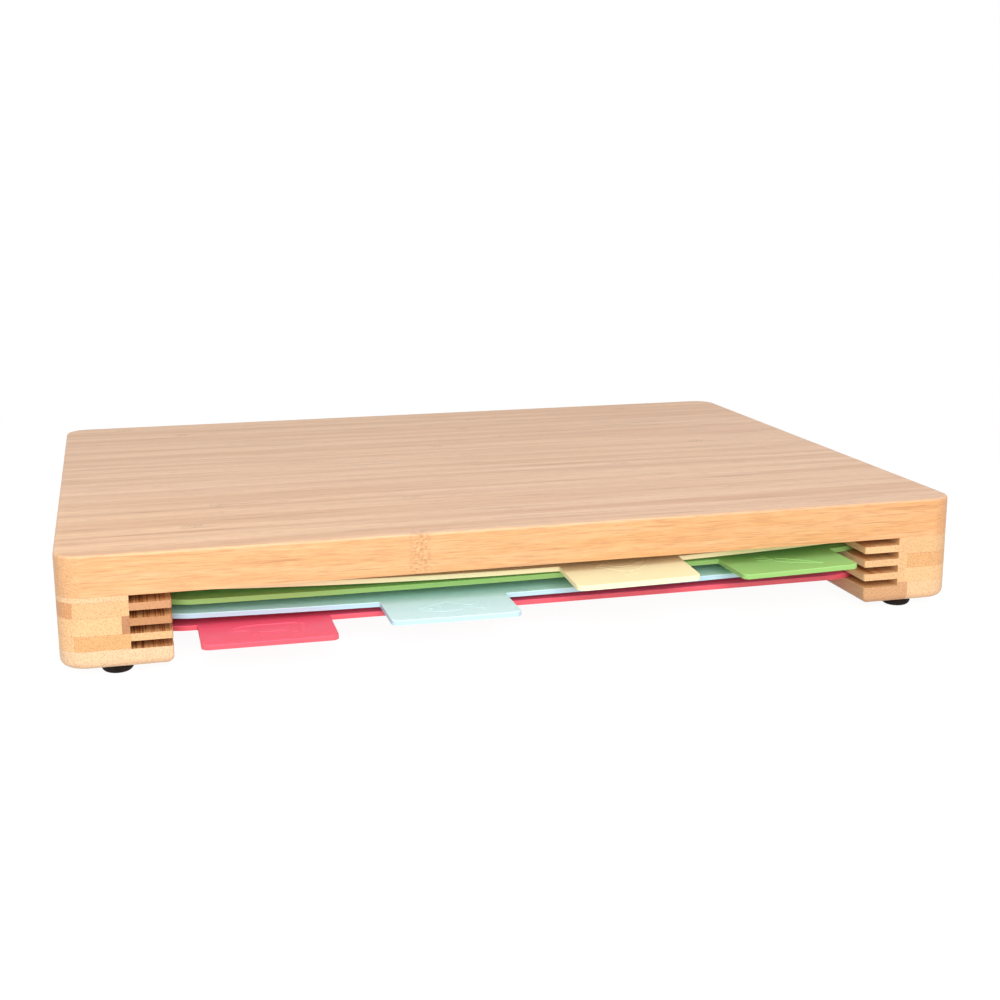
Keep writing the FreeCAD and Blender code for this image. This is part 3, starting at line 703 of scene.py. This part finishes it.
def onto_tab(colour, across, along):
    """The places on a tab's top of points in its own plan, as x, y and z in metres.

    The top is a shallow arc of the mat's sag over its half chord a, of the radius
    (a^2 + sag^2) / (2 sag), and in front of the bend it comes down evenly to the droop.
    """
    slot, setback, turn, sag, offset, droop = MAT_PLACES[colour]
    sag, droop = sag * MM, droop * MM
    x = across + offset * MM + BOARD_LOW[0]
    y = along - MAT_DEPTH / 2 - TAB_LENGTH
    half = RIGHT_RAIL[0][0] - SAG_MARGIN
    radius = (half**2 + sag**2) / (2 * sag)
    z = radius - sag - np.sqrt(radius**2 - x**2) + MAT_THICKNESS
    ahead = np.clip(TAB_LENGTH - TAB_BEND - along, 0.0, None)
    z = z - droop * ahead / (TAB_LENGTH - TAB_BEND)
    turn = math.radians(turn)
    middle = FRONT + setback * MM + MAT_DEPTH / 2
    level = UNDERSIDE - SLOT_HEIGHT - slot * SLOT_PITCH + MAT_LIFT
    return np.stack(
        [
            x * math.cos(turn) - y * math.sin(turn),
            x * math.sin(turn) + y * math.cos(turn) + middle,
            z + level,
        ],
        -1,
    )


def ridge(colour, points, closed):
    """One raised line on a tab: its vertices and faces.

    The surface is a function of the step along the path and of the angle round it: the
    place on the tab's top, plus half the ridge's width times the angle's cosine across
    the path, plus the ridge's height times the angle's sine. An open line tapers to its
    two ends, which are closed by caps.
    """
    path = path_along(points, closed) * MM
    if closed:
        way = np.roll(path, -1, 0) - np.roll(path, 1, 0)
        size = np.ones(len(path))
    else:
        way = np.gradient(path, axis=0)
        share = np.linspace(-1, 1, len(path))
        size = np.sqrt(1 - 0.9 * share**8)
    way /= np.linalg.norm(way, axis=1, keepdims=True)
    side = np.stack([-way[:, 1], way[:, 0]], 1)
    angle = np.arange(RIDGE_SIDES) * 2 * np.pi / RIDGE_SIDES
    spread = RIDGE_WIDTH / 2 * size[:, None] * np.cos(angle)
    plan = path[:, None, :] + side[:, None, :] * spread[..., None]
    places = onto_tab(colour, plan[..., 0], plan[..., 1])
    places[..., 2] += RIDGE_HEIGHTS[colour] * size[:, None] * np.sin(angle)
    rings = len(path)
    ring = np.arange(rings if closed else rings - 1)[:, None]
    spot = np.arange(RIDGE_SIDES)[None, :]
    next_ring, next_spot = (ring + 1) % rings, (spot + 1) % RIDGE_SIDES
    corners = ((ring, spot), (ring, next_spot), (next_ring, next_spot), (next_ring, spot))
    quads = np.stack([r * RIDGE_SIDES + k for r, k in corners], -1).reshape(-1, 4)
    faces = quads.tolist()
    if not closed:
        first = np.arange(RIDGE_SIDES)
        faces += [first[::-1].tolist(), (first + (rings - 1) * RIDGE_SIDES).tolist()]
    return places.reshape(-1, 3), faces


def face_outward(vertices, faces):
    """The faces, turned over if the volume that they close in comes out negative."""
    volume = 0.0
    for face in faces:
        first, *rest = vertices[face]
        rest = np.array(rest)
        volume += np.einsum("j,ij->i", first, np.cross(rest[:-1], rest[1:])).sum()
    return faces if volume > 0 else [face[::-1] for face in faces]


def put_piece(name, vertices, faces, body, materials):
    """A new piece, smooth shaded, that rides a body and belongs to a material slot."""
    mesh = bpy.data.meshes.new(name)
    mesh.from_pydata(vertices.tolist(), [], faces)
    mesh.polygons.foreach_set("use_smooth", np.ones(len(mesh.polygons), bool))
    for material in materials:
        mesh.materials.append(material)
    mesh.update()
    piece = bpy.data.objects.new(name, mesh)
    bpy.context.scene.collection.objects.link(piece)
    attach(piece, body)


def put_marks():
    """The raised outline on each mat's tab, in the mat's own plastic."""
    for colour, strokes in MARKS.items():
        vertices, faces = [], []
        for closed, points in strokes:
            start = sum(map(len, vertices))
            places, own_faces = ridge(colour, points, closed)
            own_faces = face_outward(places, own_faces)
            faces += [[start + painted_light_share for painted_light_share in face] for face in own_faces]
            vertices.append(places)
        body = f"{colour}_mat"
        put_piece(
            f"{colour}_tab_mark",
            np.vstack(vertices),
            faces,
            body,
            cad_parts[body].data.materials,
        )


# ---------------------------------------------------------------- stage, light and camera

CAMERA_PLACE = Vector((-163.2 * MM, FRONT - 562.1 * MM, UNDERSIDE + 159.7 * MM))
CAMERA_HEADING = math.radians(-14.627)
CAMERA_TILT = math.radians(-12.760)
CAMERA_ROLL = math.radians(-0.286)
CAMERA_LENS = 53.503  # millimetres, on the sensor below
CAMERA_SENSOR = 36.0
CAMERA_NEAR = 0.01

LAMP_PLACE = Vector((-0.25, -1.44, 0.88))
LAMP_TARGET = Vector((0.0, 0.0, 30 * MM))
LAMP_WIDTH = 1.36
LAMP_HEIGHT = 1.6
LAMP_WATTS = 36.7


def put_camera():
    """The camera: turned by its heading about Z, tilted down, then rolled."""
    data = bpy.data.cameras.new("camera")
    data.lens = CAMERA_LENS
    data.sensor_width = CAMERA_SENSOR
    data.clip_start = CAMERA_NEAR
    camera = bpy.data.objects.new("camera", data)
    bpy.context.scene.collection.objects.link(camera)
    heading = Matrix.Rotation(CAMERA_HEADING, 4, "Z")
    tilt = Matrix.Rotation(math.pi / 2 + CAMERA_TILT, 4, "X")
    roll = Matrix.Rotation(CAMERA_ROLL, 4, "Z")
    camera.matrix_world = Matrix.Translation(CAMERA_PLACE) @ heading @ tilt @ roll
    bpy.context.scene.camera = camera


def put_lamp():
    """One wide soft lamp in front and above, which isn't mirrored in things."""
    data = bpy.data.lights.new("front_softbox", "AREA")
    data.shape = "RECTANGLE"
    data.size = LAMP_WIDTH
    data.size_y = LAMP_HEIGHT
    data.energy = LAMP_WATTS
    lamp = bpy.data.objects.new("front_softbox", data)
    bpy.context.scene.collection.objects.link(lamp)
    lamp.visible_glossy = False
    way = LAMP_TARGET - LAMP_PLACE
    turn = way.to_track_quat("-Z", "Y").to_matrix().to_4x4()
    lamp.matrix_world = Matrix.Translation(LAMP_PLACE) @ turn


def seen_directly(tree):
    """1 for camera, mirror and see-through rays, 0 for light that falls on things."""
    rays = tree.nodes.new("ShaderNodeLightPath")
    total = None
    for name in ("Is Camera Ray", "Is Glossy Ray", "Is Transmission Ray"):
        if total is None:
            total = rays.outputs[name]
            continue
        node = tree.nodes.new("ShaderNodeMath")
        node.operation = "MAXIMUM"
        tree.links.new(total, node.inputs[0])
        tree.links.new(rays.outputs[name], node.inputs[1])
        total = node.outputs[0]
    return total


FLOOR_RADIUS = 3.0
FLOOR_SIDES = 96
FLOOR_WHITE_FROM = 0.55  # distance from the middle at which the floor turns plain white
FLOOR_GLOW = 0.945  # its own light, seen directly
FLOOR_TAKES_SHADOW = 0.1  # light that it adds where no shadow falls
FLOOR_THROWS_BACK = 0.8  # share of the light on it that it sends back to the object
AMBIENT = 0.45


def put_floor():
    """A plain white floor that takes the object's shadow and is clear when seen from below."""
    angles = np.linspace(0, 2 * np.pi, FLOOR_SIDES, endpoint=False)
    rim = np.stack([np.cos(angles), np.sin(angles), np.zeros_like(angles)], 1) * FLOOR_RADIUS
    mesh = bpy.data.meshes.new("floor")
    mesh.from_pydata(rim.tolist(), [], [list(range(len(rim)))])
    floor = bpy.data.objects.new("floor", mesh)
    bpy.context.scene.collection.objects.link(floor)
    material = bpy.data.materials.new("floor_white")
    material.use_nodes = True
    tree = material.node_tree
    tree.nodes.clear()

    def shader(kind, colour, strength=None):
        node = tree.nodes.new(kind)
        node.inputs["Color"].default_value = (colour, colour, colour, 1.0)
        if strength is not None:
            node.inputs["Strength"].default_value = strength
        return node.outputs[0]

    def mixed(factor, first, second):
        node = tree.nodes.new("ShaderNodeMixShader")
        tree.links.new(factor, node.inputs[0])
        tree.links.new(first, node.inputs[1])
        tree.links.new(second, node.inputs[2])
        return node.outputs[0]

    glow = shader("ShaderNodeEmission", 1.0, FLOOR_GLOW)
    catcher = shader("ShaderNodeBsdfDiffuse", FLOOR_TAKES_SHADOW)
    both = tree.nodes.new("ShaderNodeAddShader")
    tree.links.new(glow, both.inputs[0])
    tree.links.new(catcher, both.inputs[1])
    place = tree.nodes.new("ShaderNodeTexCoord")
    length = tree.nodes.new("ShaderNodeVectorMath")
    length.operation = "LENGTH"
    tree.links.new(place.outputs["Object"], length.inputs[0])
    fade = tree.nodes.new("ShaderNodeMapRange")
    fade.interpolation_type = "SMOOTHSTEP"
    tree.links.new(length.outputs["Value"], fade.inputs["Value"])
    fade.inputs["From Min"].default_value = 0.5 * FLOOR_WHITE_FROM
    fade.inputs["From Max"].default_value = FLOOR_WHITE_FROM
    white = shader("ShaderNodeEmission", 1.0, 1.0)
    shown = mixed(fade.outputs[0], both.outputs[0], white)
    bounce = shader("ShaderNodeBsdfDiffuse", FLOOR_THROWS_BACK)
    surface = mixed(seen_directly(tree), bounce, shown)
    side = tree.nodes.new("ShaderNodeNewGeometry")
    surface = mixed(side.outputs["Backfacing"], surface, shader("ShaderNodeBsdfTransparent", 1.0))
    output = tree.nodes.new("ShaderNodeOutputMaterial")
    tree.links.new(surface, output.inputs["Surface"])
    mesh.materials.append(material)


def put_world():
    """White where it is seen or mirrored, and a softer even light on the object."""
    world = bpy.data.worlds.new("studio")
    bpy.context.scene.world = world
    world.use_nodes = True
    tree = world.node_tree
    tree.nodes.clear()
    ambient = tree.nodes.new("ShaderNodeBackground")
    ambient.inputs["Strength"].default_value = AMBIENT
    white = tree.nodes.new("ShaderNodeBackground")
    for node in (ambient, white):
        node.inputs["Color"].default_value = (1.0, 1.0, 1.0, 1.0)
    mixed = tree.nodes.new("ShaderNodeMixShader")
    tree.links.new(seen_directly(tree), mixed.inputs[0])
    tree.links.new(ambient.outputs[0], mixed.inputs[1])
    tree.links.new(white.outputs[0], mixed.inputs[2])
    output = tree.nodes.new("ShaderNodeOutputWorld")
    tree.links.new(mixed.outputs[0], output.inputs["Surface"])


def put_studio():
    """Floor, world, lamp and plain tones."""
    put_floor()
    put_world()
    put_lamp()
    bpy.context.scene.view_settings.view_transform = "Standard"


dress_everything()
put_marks()
put_studio()
put_camera()
